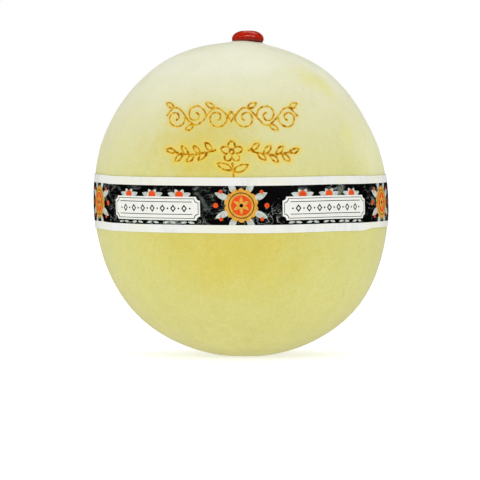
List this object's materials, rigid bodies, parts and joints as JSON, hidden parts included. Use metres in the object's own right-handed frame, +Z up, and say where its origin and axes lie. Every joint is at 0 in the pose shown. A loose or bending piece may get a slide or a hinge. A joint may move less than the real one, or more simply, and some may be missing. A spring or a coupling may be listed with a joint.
{
  "type": "melon",
  "caption": "Whole smooth round melon standing on its base, with a printed paper band round its middle and a drop of sealing wax over its cut stalk.",
  "frame": {"origin": "middle of the melon's outline, on the surface that it rests on", "axes": "+Z up through the stalk end, front of the band faces -Y, +X to the right seen from the front"},
  "size_m": [0.147, 0.1468, 0.1622],
  "materials": {
    "skin": "smooth waxy melon skin, pale cream at the stalk end and straw yellow below",
    "paper": "coated white paper with a satin print",
    "wax": "glossy red sealing wax"
  },
  "bodies": {
    "root": {"melon": "skin", "paper_band": "paper", "wax_seal": "wax"}
  },
  "joints": []
}
